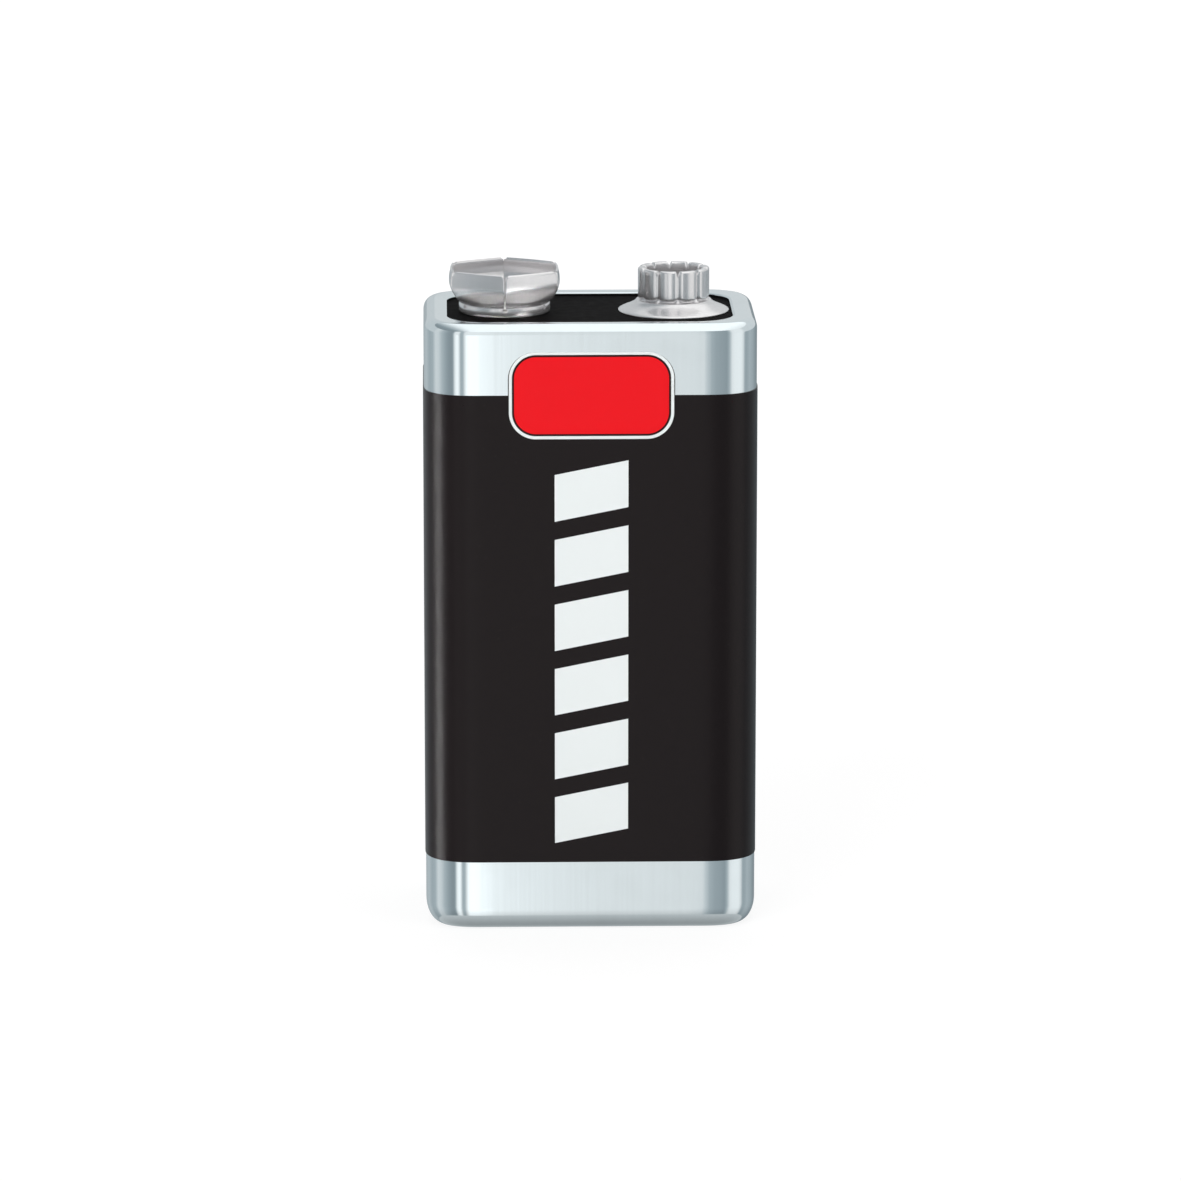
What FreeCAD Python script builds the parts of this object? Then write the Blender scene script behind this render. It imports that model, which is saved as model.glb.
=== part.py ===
import FreeCAD, Part

import math
import os

# A nine volt battery of the flat cell kind, in millimetres.
# The origin is the centre of the base, +Z is up, +X runs towards the stud and -Y is the front.

V = FreeCAD.Vector
UP = V(0, 0, 1)

# Body
body_width = 24.6
body_depth = 16.2
body_height = 45.5
corner_radius = 3.4

# Steel jacket, folded in over the board and the base plate
jacket_sheet = 0.3
rim_bend_radius = 0.8
rim_reach = 1.75
rim_window_corner = 3.0
base_bevel = 1.0
base_rim_reach = 2.2
jacket_seam_gap = 0.12
jacket_seam_share = 0.22

# Printed film label, with a tab on its top edge and a lap at the back
label_film = 0.06
label_bottom = 5.2
label_top = 40.3
label_tab_width = 12.2
label_tab_rise = 3.2
label_tab_corner = 2.0
label_lap_width = 3.0
label_lap_offset = 6.0

# Plates that close the jacket
board_thickness = 1.0
base_plate_thickness = 1.2
plate_clearance = 0.1

# Snap terminals
terminal_inset = 6.05
terminal_sheet = 0.3

# Socket, a six sided crown of sprung petals on a round collar
petal_count = 6
socket_height = 3.3
socket_collar_radius = 3.35
socket_collar_height = 0.75
socket_collar_bend = 0.45
socket_waist_height = 1.1
socket_waist_flat = 3.62
socket_waist_roundness = 0.5
socket_crease_height = 1.7
socket_crease_flat = 3.93
socket_bulge_height = 2.25
socket_bulge_flat = 4.08
socket_lip_flat = 3.95
bulge_steps = 2
petal_crown = 0.06
petal_slit = 0.16
petal_notch_width = 0.5
petal_notch_depth = 0.4
petal_relief_radius = 0.2
petal_relief_height = 0.58
petal_relief_sides = 8

# Stud, a fluted crown on a trumpet foot
stud_height = 3.25
stud_radius = 2.65
stud_wall = 0.55
flute_count = 10
flute_depth = 0.1
flute_width = 0.36
stud_crease_depth = 0.08
flute_turn = 6.0
stud_foot_clearance = 0.14
stud_foot_edge = 0.1
stud_foot_height = 0.85
stud_collar_reach = 0.17
stud_lobe_rise = 0.3
stud_lobe_inset = 0.2
stud_lip_bevel = 0.14
stud_notch_width = 0.34
stud_notch_depth = 0.3

# Eyelets that rivet each terminal and its lead to the board
eyelet_radius = 1.0
eyelet_bore_radius = 0.65
eyelet_head_radius = 1.65
eyelet_head_thickness = 0.25
eyelet_foot_radius = 1.5
eyelet_clearance = 0.05

# Leads
lead_sheet = 0.25
lead_width = 4.5
lead_end_margin = 2.4
lead_landing = 6.0
lead_fold_setback = 0.95
tape_thickness = 0.08
tape_width = 8.0
tape_margin = 2.0

# Stack
cell_count = 6
liner_thickness = 0.25
wrap_film = 0.12
contact_thickness = 0.25
contact_inset = 1.0
pad_thickness = 2.5
pad_inset = 1.4
pad_clip = 1.0
stack_room_side = 0.15
stack_room_front = 0.4
fit = 0.03

# One flat cell
cell_clip = 1.2
zinc_thickness = 0.5
separator_thickness = 0.35
envelope_film = 0.2
envelope_lip = 1.5

# Sizes that follow
jacket_width = body_width - 2 * label_film
jacket_depth = body_depth - 2 * label_film
jacket_corner = corner_radius - label_film
inside_width = jacket_width - 2 * jacket_sheet
inside_depth = jacket_depth - 2 * jacket_sheet
inside_corner = jacket_corner - jacket_sheet
inside_rim_bevel = rim_bend_radius - jacket_sheet
inside_base_bevel = base_bevel - jacket_sheet * (2 - math.sqrt(2))

board_top = body_height - jacket_sheet
board_bottom = board_top - board_thickness
base_plate_top = jacket_sheet + base_plate_thickness

liner_width = inside_width - 2 * fit
liner_depth = inside_depth - 2 * fit
liner_corner = inside_corner - fit

lead_room = stack_room_side + tape_thickness + lead_sheet + fit
wrap_width = liner_width - 2 * (liner_thickness + lead_room)
wrap_depth = liner_depth - 2 * (liner_thickness + stack_room_front)
cell_width = wrap_width - 2 * (wrap_film + fit)
cell_depth = wrap_depth - 2 * (wrap_film + fit)

bottom_contact_bottom = base_plate_top + lead_sheet
stack_bottom = bottom_contact_bottom + contact_thickness
pad_top = board_bottom - lead_sheet - eyelet_head_thickness - fit
pad_bottom = pad_top - pad_thickness
top_contact_top = pad_bottom - lead_sheet
stack_top = top_contact_top - contact_thickness
cell_pitch = (stack_top - stack_bottom) / cell_count

stud_x = body_width / 2 - terminal_inset
socket_x = -stud_x
stud_foot_radius = terminal_inset - label_film - rim_reach - stud_foot_clearance


# Shapes used more than once


def rounded_outline(width, depth, radius, level):
    """A closed rectangle with round corners, centred on the Z axis."""
    across = width / 2 - radius
    along = depth / 2 - radius
    centres = [(across, along), (-across, along), (-across, -along), (across, -along)]
    arcs = []
    for quarter, (x, y) in enumerate(centres):
        circle = Part.Circle(V(x, y, level), UP, radius)
        start = quarter * math.pi / 2
        arcs.append(Part.Arc(circle, start, start + math.pi / 2).toShape())
    edges = []
    for quarter, arc in enumerate(arcs):
        following = arcs[(quarter + 1) % 4]
        edges.append(arc)
        edges.append(Part.makeLine(arc.Vertexes[-1].Point, following.Vertexes[0].Point))
    return Part.Wire(edges)


def rounded_block(width, depth, radius, bottom, top):
    """An upright block with round corners."""
    outline = rounded_outline(width, depth, radius, bottom)
    return Part.Face(outline).extrude(V(0, 0, top - bottom))


def clipped_block(width, depth, clip, bottom, top):
    """An upright block with its four corners cut off."""
    x = width / 2
    y = depth / 2
    across = x - clip
    along = y - clip
    corners = [(x, -along), (x, along), (across, y), (-across, y)]
    corners += [(-x, along), (-x, -along), (-across, -y), (across, -y)]
    points = [V(a, b, bottom) for a, b in corners + corners[:1]]
    return Part.Face(Part.makePolygon(points)).extrude(V(0, 0, top - bottom))


def stack_block(inset, bottom, top):
    """A block with the outline of a cell, smaller all round by the inset."""
    clip = cell_clip - inset * (2 - math.sqrt(2))
    return clipped_block(cell_width - 2 * inset, cell_depth - 2 * inset, clip, bottom, top)


def rounded_tube(width, depth, radius, wall, bottom, top):
    """An upright tube with an even wall, from its outside size."""
    outside = rounded_block(width, depth, radius, bottom, top)
    inside = rounded_block(width - 2 * wall, depth - 2 * wall, radius - wall, bottom, top)
    return outside.cut(inside)


def edges_at(shape, level):
    """The edges of a shape that lie flat at one height."""
    found = []
    for edge in shape.Edges:
        box = edge.BoundBox
        if abs(box.ZMin - level) < 1e-6 and abs(box.ZMax - level) < 1e-6:
            found.append(edge)
    return found


def across_axis(width, bottom, top, reach):
    """A thin plate on edge through the Z axis, used to cut opposite slits."""
    return Part.makeBox(2 * reach, width, top - bottom, V(-reach, -width / 2, bottom))


def notch_across_axis(width, depth, top, reach):
    """A triangular bar through the Z axis, used to cut opposite V notches."""
    corners = [V(-reach, -width / 2, top), V(-reach, width / 2, top), V(-reach, 0, top - depth)]
    face = Part.Face(Part.makePolygon(corners + corners[:1]))
    return face.extrude(V(2 * reach, 0, 0))


def many_sided_bar(sides, radius, level, reach):
    """A lying bar through the Z axis, used to end opposite slits in small holes."""
    corners = []
    for number in range(sides):
        angle = (number + 0.5) * 2 * math.pi / sides
        corners.append(V(-reach, radius * math.cos(angle), level + radius * math.sin(angle)))
    face = Part.Face(Part.makePolygon(corners + corners[:1]))
    return face.extrude(V(2 * reach, 0, 0))


def turned(shape, degrees):
    """A copy of a shape, turned about the Z axis."""
    return shape.rotated(V(0, 0, 0), UP, degrees)


def polar(radius, degrees, level):
    """A point by its radius and angle."""
    angle = math.radians(degrees)
    return V(radius * math.cos(angle), radius * math.sin(angle), level)


def lobed_outline(count, corner_reach, middle_reach, first_corner, level):
    """A closed ring of equal arcs that meet at corners."""
    step = 360 / count
    edges = []
    for number in range(count):
        start = first_corner + number * step
        corner = polar(corner_reach, start, level)
        middle = polar(middle_reach, start + step / 2, level)
        following = polar(corner_reach, start + step, level)
        edges.append(Part.Arc(corner, middle, following).toShape())
    return Part.Wire(edges)


def revolved_polygon(corners):
    """A solid turned about the Z axis from the (x, z) corners of its section."""
    points = [V(x, 0, z) for x, z in corners + corners[:1]]
    return Part.Face(Part.makePolygon(points)).revolve(V(0, 0, 0), UP, 360)


def line(start, end):
    """A straight edge in the XZ plane, from two (x, z) pairs."""
    return Part.makeLine(V(start[0], 0, start[1]), V(end[0], 0, end[1]))


def arc(start, middle, end):
    """A round edge in the XZ plane, through three (x, z) pairs."""
    points = [V(x, 0, z) for x, z in (start, middle, end)]
    return Part.Arc(*points).toShape()


def folded_strip(corners, sheet, width):
    """A metal strip on the left of a path of (x, z) corners, seen from the front."""
    path = Part.makePolygon([V(x, 0, z) for x, z in corners])
    section = path.makeOffset2D(sheet, join=0, fill=True, openResult=True)
    section.translate(V(0, -width / 2, 0))
    return section.extrude(V(0, width, 0))


# Jacket and label


def make_window(reach, bottom, top):
    """The opening that a folded rim leaves, from how far the rim reaches in."""
    width = jacket_width - 2 * reach
    depth = jacket_depth - 2 * reach
    return rounded_block(width, depth, rim_window_corner, bottom, top)


def make_jacket():
    """The steel sheet wrapped round the battery, its rims folded in at both ends."""
    outside = rounded_block(jacket_width, jacket_depth, jacket_corner, 0, body_height)
    outside = outside.makeFillet(rim_bend_radius, edges_at(outside, body_height))
    outside = outside.makeChamfer(base_bevel, edges_at(outside, 0))
    inside = rounded_block(inside_width, inside_depth, inside_corner, jacket_sheet, board_top)
    inside = inside.makeChamfer(inside_rim_bevel, edges_at(inside, board_top))
    inside = inside.makeChamfer(inside_base_bevel, edges_at(inside, jacket_sheet))
    seam_x = -jacket_seam_share * jacket_width
    seam = Part.makeBox(
        jacket_seam_gap, jacket_depth, body_height, V(seam_x - jacket_seam_gap / 2, 0, 0)
    )
    jacket = outside.cut(inside).cut(seam)
    jacket = jacket.cut(make_window(rim_reach, board_bottom, body_height))
    return jacket.cut(make_window(base_rim_reach, 0, base_plate_top))


def make_label():
    """The printed film round the jacket, from its lower edge to the tab on its upper edge."""
    band = rounded_tube(body_width, body_depth, corner_radius, label_film, label_bottom, label_top)
    tab = rounded_block(label_tab_width, 2 * label_tab_rise, label_tab_corner, 0, label_film)
    tab = tab.rotated(V(0, 0, 0), V(1, 0, 0), 90)
    tab.translate(V(0, label_film - body_depth / 2, label_top))
    lap = Part.makeBox(
        label_lap_width,
        label_film,
        label_top - label_bottom,
        V(label_lap_offset - label_lap_width / 2, body_depth / 2, label_bottom),
    )
    return band.fuse([tab, lap]).removeSplitter()


# Plates that close the ends


def make_plate(bottom, top, bevel, bevel_level):
    """A plate that fills the jacket, bevelled where it lies in the fold of a rim."""
    plate = rounded_block(
        inside_width - 2 * plate_clearance,
        inside_depth - 2 * plate_clearance,
        inside_corner - plate_clearance,
        bottom,
        top,
    )
    return plate.makeChamfer(bevel, edges_at(plate, bevel_level))


def make_board():
    """The insulating board that carries both terminals."""
    board = make_plate(board_bottom, board_top, inside_rim_bevel, board_top)
    for x in (socket_x, stud_x):
        radius = eyelet_radius + eyelet_clearance
        hole = Part.makeCylinder(radius, board_thickness, V(x, 0, board_bottom))
        board = board.cut(hole)
    return board


# Socket


def socket_levels():
    """The crown's (height, flat, roundness) levels, from the collar over the bulge to the lip."""
    levels = [
        (socket_collar_height, socket_collar_radius, 1.0),
        (socket_waist_height, socket_waist_flat, socket_waist_roundness),
        (socket_crease_height, socket_crease_flat, 0.0),
    ]
    for step in range(1, bulge_steps + 1):
        share = step / bulge_steps
        height = socket_crease_height + share * (socket_bulge_height - socket_crease_height)
        swell = math.sin(share * math.pi / 2) * (socket_bulge_flat - socket_crease_flat)
        levels.append((height, socket_crease_flat + swell, 0.0))
    for step in range(1, bulge_steps + 1):
        share = step / bulge_steps
        height = socket_bulge_height + share * (socket_height - socket_bulge_height)
        tuck = share**2 * (socket_bulge_flat - socket_lip_flat)
        levels.append((height, socket_bulge_flat - tuck, 0.0))
    return levels


def socket_flare(inset):
    """The crown as a solid, smaller all round by the inset."""
    first_corner = 180 / petal_count
    outlines = []
    for height, flat, roundness in socket_levels():
        reach = flat - inset
        hexagon = (reach - petal_crown) / math.cos(math.pi / petal_count)
        corner = roundness * reach + (1 - roundness) * hexagon
        outlines.append(lobed_outline(petal_count, corner, reach, first_corner, height))
    return Part.makeLoft(outlines, True, True)


def socket_collar():
    """The round cup at the foot of the crown, with its floor on the board."""
    outer = socket_collar_radius
    inner = outer - terminal_sheet
    bend = socket_collar_bend
    inner_bend = bend - terminal_sheet
    hole = eyelet_radius + eyelet_clearance
    floor = terminal_sheet
    return revolved_polygon([
        (hole, 0),
        (outer - bend, 0),
        (outer, bend),
        (outer, socket_collar_height),
        (inner, socket_collar_height),
        (inner, floor + inner_bend),
        (inner - inner_bend, floor),
        (hole, floor),
    ])


def make_socket():
    """The large snap terminal, its petals parted by slits that end in small holes."""
    crown = socket_flare(0).cut(socket_flare(terminal_sheet))
    socket = socket_collar().fuse(crown)
    reach = 2 * socket_bulge_flat
    slit = across_axis(petal_slit, petal_relief_height, socket_height, reach)
    notch = notch_across_axis(petal_notch_width, petal_notch_depth, socket_height, reach)
    relief = many_sided_bar(petal_relief_sides, petal_relief_radius, petal_relief_height, reach)
    for pair in range(petal_count // 2):
        angle = (pair + 0.5) * 360 / petal_count
        for cutter in (slit, notch, relief):
            socket = socket.cut(turned(cutter, angle))
    socket.translate(V(socket_x, 0, board_top))
    return socket


# Stud


def stud_foot():
    """The trumpet foot, which rises to a narrow ledge round the column."""
    edge = (stud_foot_radius, stud_foot_edge)
    ledge = (stud_radius + stud_collar_reach, stud_foot_height)
    sag = (0.3 * edge[0] + 0.7 * ledge[0], (edge[1] + ledge[1]) / 2)
    edges = [
        line((0, 0), (stud_foot_radius, 0)),
        line((stud_foot_radius, 0), edge),
        arc(edge, sag, ledge),
        line(ledge, (0, stud_foot_height)),
        line((0, stud_foot_height), (0, 0)),
    ]
    return Part.Face(Part.Wire(edges)).revolve(V(0, 0, 0), UP, 360)


def stud_column():
    """The round column, bevelled off below and at the lip."""
    return revolved_polygon([
        (0, stud_foot_height),
        (stud_radius - stud_lobe_inset, stud_foot_height),
        (stud_radius, stud_foot_height + stud_lobe_rise),
        (stud_radius, stud_height - stud_lip_bevel),
        (stud_radius - stud_lip_bevel, stud_height),
        (0, stud_height),
    ])


def stud_hollow():
    """The inside of the column, its wall creased at every flute."""
    inside = stud_radius - stud_wall
    crease = inside - stud_crease_depth
    outline = lobed_outline(flute_count, crease, inside, 0, terminal_sheet)
    return Part.Face(outline).extrude(V(0, 0, stud_height))


def stud_flute():
    """The bar that cuts one flute down the column, in the XZ plane."""
    bottom = stud_radius - flute_depth
    beyond = stud_radius + flute_depth
    corners = [
        V(bottom, 0, stud_foot_height),
        V(beyond, flute_width, stud_foot_height),
        V(beyond, -flute_width, stud_foot_height),
    ]
    face = Part.Face(Part.makePolygon(corners + corners[:1]))
    return face.extrude(V(0, 0, stud_height - stud_foot_height))


def make_stud():
    """The small snap terminal: a doubled wall, a floor for its eyelet and a trumpet foot."""
    stud = stud_foot().fuse(stud_column())
    stud = stud.cut(stud_hollow())
    stud = stud.cut(Part.makeCylinder(eyelet_radius + eyelet_clearance, stud_height))
    flute = stud_flute()
    for number in range(flute_count):
        stud = stud.cut(turned(flute, number * 360 / flute_count))
    notch = notch_across_axis(stud_notch_width, stud_notch_depth, stud_height, stud_foot_radius)
    for pair in range(flute_count // 2):
        stud = stud.cut(turned(notch, pair * 360 / flute_count))
    stud = turned(stud, flute_turn - 90)
    stud.translate(V(stud_x, 0, board_top))
    return stud


# Eyelets and leads


def make_eyelet(x):
    """A tubular rivet through a terminal's floor, the board and a lead."""
    head_top = terminal_sheet + eyelet_head_thickness
    foot_top = -board_thickness - lead_sheet
    foot_bottom = foot_top - eyelet_head_thickness
    eyelet = revolved_polygon([
        (eyelet_bore_radius, foot_bottom),
        (eyelet_foot_radius, foot_top),
        (eyelet_radius, foot_top),
        (eyelet_radius, terminal_sheet),
        (eyelet_head_radius, terminal_sheet),
        (eyelet_bore_radius, head_top),
    ])
    eyelet.translate(V(x, 0, board_top))
    return eyelet


def pierced(lead, x):
    """A lead with the hole for its eyelet."""
    radius = eyelet_radius + eyelet_clearance
    return lead.cut(Part.makeCylinder(radius, board_thickness, V(x, 0, board_bottom - board_thickness)))


def make_stud_lead():
    """The lead folded round the pad, from the stud's eyelet to the plate on the stack."""
    fold = cell_width / 2 - lead_fold_setback
    under_board = board_bottom - lead_sheet
    corners = [
        (stud_x - lead_end_margin, under_board),
        (fold, under_board),
        (fold, pad_bottom),
        (fold - lead_landing, pad_bottom),
    ]
    return pierced(folded_strip(corners, lead_sheet, lead_width), stud_x)


def make_socket_lead():
    """The long lead, from the socket's eyelet down one side and in under the stack."""
    side = -wrap_width / 2 - fit
    under_board = board_bottom - lead_sheet
    corners = [
        (side + lead_landing, bottom_contact_bottom),
        (side, bottom_contact_bottom),
        (side, under_board),
        (socket_x + lead_end_margin, under_board),
    ]
    return pierced(folded_strip(corners, lead_sheet, lead_width), socket_x)


def make_lead_tape():
    """The tape that keeps the long lead off the jacket."""
    face = -wrap_width / 2 - fit - lead_sheet
    bottom = bottom_contact_bottom + tape_margin
    top = board_bottom - tape_margin
    return Part.makeBox(
        tape_thickness, tape_width, top - bottom, V(face - tape_thickness, -tape_width / 2, bottom)
    )


# Stack


def make_liner():
    """The card tube that lines the jacket."""
    return rounded_tube(
        liner_width, liner_depth, liner_corner, liner_thickness, base_plate_top, board_bottom
    )


def make_wrap():
    """The film sleeve that holds the six cells together."""
    outside = stack_block(-fit - wrap_film, bottom_contact_bottom, top_contact_top)
    return outside.cut(stack_block(-fit, bottom_contact_bottom, top_contact_top))


def make_contact(bottom):
    """A thin plate against one end of the stack."""
    return stack_block(contact_inset, bottom, bottom + contact_thickness)


def make_pad():
    """The card pad that presses the stack down inside the fold of the stud's lead."""
    width = cell_width - 2 * (lead_fold_setback + fit)
    depth = cell_depth - 2 * pad_inset
    return clipped_block(width, depth, pad_clip, pad_bottom, pad_top)


def make_cell(number):
    """One flat cell: a coated zinc plate, its separator, the cathode cake and the envelope."""
    bottom = stack_bottom + number * cell_pitch
    top = bottom + cell_pitch
    separator_bottom = bottom + zinc_thickness
    cake_bottom = separator_bottom + separator_thickness
    inset = envelope_film + fit
    cake = stack_block(inset, cake_bottom, top - inset)
    cake = cake.fuse(stack_block(envelope_lip + fit, cake_bottom, top)).removeSplitter()
    envelope = stack_block(0, bottom, top)
    envelope = envelope.cut(stack_block(envelope_film, bottom, top - envelope_film))
    envelope = envelope.cut(stack_block(envelope_lip, bottom, top))
    return {
        "zinc_plate": stack_block(inset, bottom, separator_bottom),
        "separator": stack_block(inset, separator_bottom, cake_bottom),
        "cathode_cake": cake,
        "cell_envelope": envelope,
    }


def build():
    """Every piece by its name."""
    pieces = {
        "jacket": make_jacket(),
        "label": make_label(),
        "terminal_board": make_board(),
        "base_plate": make_plate(jacket_sheet, base_plate_top, inside_base_bevel, jacket_sheet),
        "negative_socket": make_socket(),
        "positive_stud": make_stud(),
        "socket_eyelet": make_eyelet(socket_x),
        "stud_eyelet": make_eyelet(stud_x),
        "stud_lead": make_stud_lead(),
        "socket_lead": make_socket_lead(),
        "lead_tape": make_lead_tape(),
        "card_liner": make_liner(),
        "stack_wrap": make_wrap(),
        "bottom_contact": make_contact(bottom_contact_bottom),
        "top_contact": make_contact(stack_top),
        "top_pad": make_pad(),
    }
    for number in range(cell_count):
        for name, shape in make_cell(number).items():
            pieces[f"{name}_{number + 1}"] = shape
    return pieces


os.makedirs("parts", exist_ok=True)
for piece_name, piece in build().items():
    piece.exportStep(f"parts/{piece_name}.step")
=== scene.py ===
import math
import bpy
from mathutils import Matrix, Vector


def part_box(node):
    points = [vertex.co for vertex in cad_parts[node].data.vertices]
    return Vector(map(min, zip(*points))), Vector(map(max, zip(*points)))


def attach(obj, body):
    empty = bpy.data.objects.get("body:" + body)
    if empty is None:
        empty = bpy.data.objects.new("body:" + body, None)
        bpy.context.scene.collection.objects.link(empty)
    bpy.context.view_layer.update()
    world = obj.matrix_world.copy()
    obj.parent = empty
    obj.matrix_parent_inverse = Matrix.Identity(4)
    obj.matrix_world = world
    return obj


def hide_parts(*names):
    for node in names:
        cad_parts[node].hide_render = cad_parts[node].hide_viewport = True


bl_info = {
    "name": "Nine Volt Battery",
    "version": (1, 0, 0),
    "blender": (4, 5, 0),
    "location": "View3D > Sidebar > Battery",
    "description": "Dresses the packed nine volt battery and sets up its studio",
    "category": "Object",
}

import bmesh
import bpy
from bpy.types import Operator, Panel, PropertyGroup
from mathutils import Vector

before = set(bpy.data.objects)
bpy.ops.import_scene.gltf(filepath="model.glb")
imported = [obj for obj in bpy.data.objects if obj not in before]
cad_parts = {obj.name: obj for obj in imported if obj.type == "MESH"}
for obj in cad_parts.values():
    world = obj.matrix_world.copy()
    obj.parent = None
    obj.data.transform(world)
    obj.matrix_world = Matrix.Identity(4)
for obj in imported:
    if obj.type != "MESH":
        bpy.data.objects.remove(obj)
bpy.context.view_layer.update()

MM = 0.001
QUARTER = math.pi / 2
BODY = "root"


# Settings


def number(name, description, value, **kind):
    """A number that a user may change."""
    return bpy.props.FloatProperty(name=name, description=description, default=value, **kind)


def size(name, description, millimetres):
    """A length that a user may change, given in millimetres."""
    return number(name, description, millimetres * MM, unit="LENGTH", precision=5)


def share(name, description, value):
    """A share of one that a user may change."""
    return number(name, description, value, min=0.0, max=1.0, subtype="FACTOR")


def turn(name, description, degrees):
    """An angle that a user may change, given in degrees."""
    return number(name, description, math.radians(degrees), subtype="ANGLE")


def count(name, description, value):
    """A whole number that a user may change."""
    return bpy.props.IntProperty(name=name, description=description, default=value)


def tint(name, description, colour):
    """A colour that a user may change."""
    return bpy.props.FloatVectorProperty(
        name=name, description=description, default=colour, size=3, min=0.0, max=1.0, subtype="COLOR"
    )


def node_extent(node, axis):
    """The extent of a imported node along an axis, in millimetres."""
    low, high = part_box(node)
    return (high[axis] - low[axis]) / MM


def node_level(node, end):
    """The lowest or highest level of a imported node, in millimetres."""
    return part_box(node)[end].z / MM


class BatteryJacketSettings(PropertyGroup):
    width: size("Width", "Jacket from side to side", node_extent("jacket", 0))
    depth: size("Depth", "Jacket from front to back", node_extent("jacket", 1))
    height: size("Height", "Jacket from base to rim", node_level("jacket", 1))
    sheet: size("Sheet", "Thickness of the tinplate", 0.25)
    corner: size("Corner", "Reach of the eased upright corners", 4.05)
    corner_ease: number("Corner ease", "Exponent of the corner's curve, 2 for a circle", 2.5)
    rim_bend: size("Rim bend", "Radius where the sheet folds in at the top", 0.8)
    rim_reach: size("Rim reach", "How far the top rim reaches in", 1.75)
    rim_dip: size("Rim dip", "How much lower the rim's inner edge lies", 0.06)
    base_bend: size("Base bend", "Inward reach of the bend at the base", 1.0)
    base_rise: size("Base rise", "Height of the bend at the base", 1.7)
    base_reach: size("Base reach", "How far the base rim reaches in", 2.2)
    window_corner: size("Window corner", "Corner radius of both openings", 3.0)
    seam_gap: size("Seam gap", "Slit between the sheet's ends at the back", 0.05)
    seam_place: size("Seam place", "Middle of that slit from the centre", -5.386)
    steel: tint("Tinplate", "Colour of the bright tinplate", (0.85, 0.92, 0.945))
    roughness: share("Roughness", "Roughness of the bright tinplate", 0.085)


class BatteryLabelSettings(PropertyGroup):
    film: size("Film", "Thickness of the label", 0.06)
    bottom: size("Bottom", "Level of the lower edge", node_level("label", 0))
    top: size("Top", "Level of the upper edge beside the tab", 40.3)
    tab_width: size("Tab width", "Width of the tab on the upper edge", 12.2)
    tab_rise: size("Tab rise", "Height of the tab over the upper edge", 3.2)
    tab_corner: size("Tab corner", "Corner radius of the tab", 2.0)
    lap_width: size("Lap width", "Width of the overlap at the back", 3.0)
    lap_offset: size("Lap offset", "Middle of the overlap from the centre", 6.0)
    black: tint("Black", "Colour of the film's ground", (0.0071, 0.0040, 0.0044))
    red: tint("Red", "Colour of the printed field", (0.761, 0.0006, 0.0062))
    outline: tint("Outline", "Colour of the line round the field", (0.019, 0.0004, 0.0004))
    pale: tint("Pale", "Colour of the halo and the bars", (0.752, 0.79, 0.79))
    field_width: size("Field width", "Width of the printed field", 11.3)
    field_height: size("Field height", "Height of the printed field", 5.7)
    field_corner: size("Field corner", "Corner radius of the printed field", 1.6)
    outline_width: size("Outline width", "Width of the dark line", 0.16)
    halo_width: size("Halo width", "Width of the pale line outside it", 0.22)
    bar_count: count("Bars", "Number of slanted bars", 6)
    bar_bottom: size("Bar bottom", "Level where the bars begin", 7.2)
    bar_width: size("Bar width", "Length of each bar across the front", 5.4)
    bar_pitch: size("Bar pitch", "Distance from bar to bar", 4.85)
    bar_fill: share("Bar fill", "Share of the pitch that is printed", 0.72)
    bar_slant: share("Bar slant", "Rise of the bars across the front", 0.2)


class BatterySocketSettings(PropertyGroup):
    petals: count("Petals", "Number of petals", 6)
    height: size("Height", "Height over the board", node_extent("negative_socket", 2))
    sheet: size("Sheet", "Thickness of the plated brass", 0.28)
    hole: size("Hole", "Radius of the hole for the eyelet", 1.05)
    collar_radius: size("Collar radius", "Widest radius of the collar", 3.38)
    collar_height: size("Collar height", "Level where the round collar ends", 0.78)
    waist_radius: size("Waist radius", "Radius above the collar", 3.3)
    bulge_flat: size("Bulge", "Across flats at the bulge, halved", 4.08)
    lip_flat: size("Lip", "Across flats at the lip, halved", 3.93)
    crown: size("Petal crown", "How far a petal's middle stands out", 0.14)
    slit: size("Slit", "Gap between two petals", 0.1)
    notch_width: size("Notch width", "Width of the notch at the lip", 0.5)
    notch_depth: size("Notch depth", "Depth of the notch at the lip", 0.4)
    relief: size("Relief", "Radius of the round end of each slit", 0.18)
    relief_level: size("Relief level", "Level of the round ends", 0.56)
    nickel: tint("Nickel", "Colour of the nickel plating", (0.80, 0.785, 0.79))


class BatteryStudSettings(PropertyGroup):
    height: size("Height", "Height over the board", node_extent("positive_stud", 2))
    radius: size("Radius", "Radius of the column", 2.65)
    wall: size("Wall", "Thickness of the doubled wall", 0.55)
    floor: size("Floor", "Thickness of the floor", 0.3)
    hole: size("Hole", "Radius of the hole for the eyelet", 1.05)
    flutes: count("Flutes", "Number of flutes", 10)
    flute_depth: size("Flute depth", "Depth of each flute", 0.1)
    lobe_bulge: size("Lobe bulge", "How far each lobe's middle stands out", 0.1)
    scallop: size("Scallop", "How much higher the column begins at a flute", 0.26)
    flute_width: size("Flute width", "Reach of a flute to each side", 0.3)
    flute_turn: turn("Flute turn", "Turn of the flutes about the axis", 6.0)
    notch_width: size("Notch width", "Width of the notch at the lip", 0.4)
    notch_depth: size("Notch depth", "Depth of the notch at the lip", 0.3)
    foot_radius: size("Foot radius", "Radius of the trumpet foot", node_extent("positive_stud", 0) / 2)
    foot_edge: size("Foot edge", "Height of the foot's edge", 0.1)
    foot_height: size("Foot height", "Level of the ledge round the column", 0.85)
    ledge_reach: size("Ledge reach", "How far the ledge stands out", 0.17)


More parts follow.
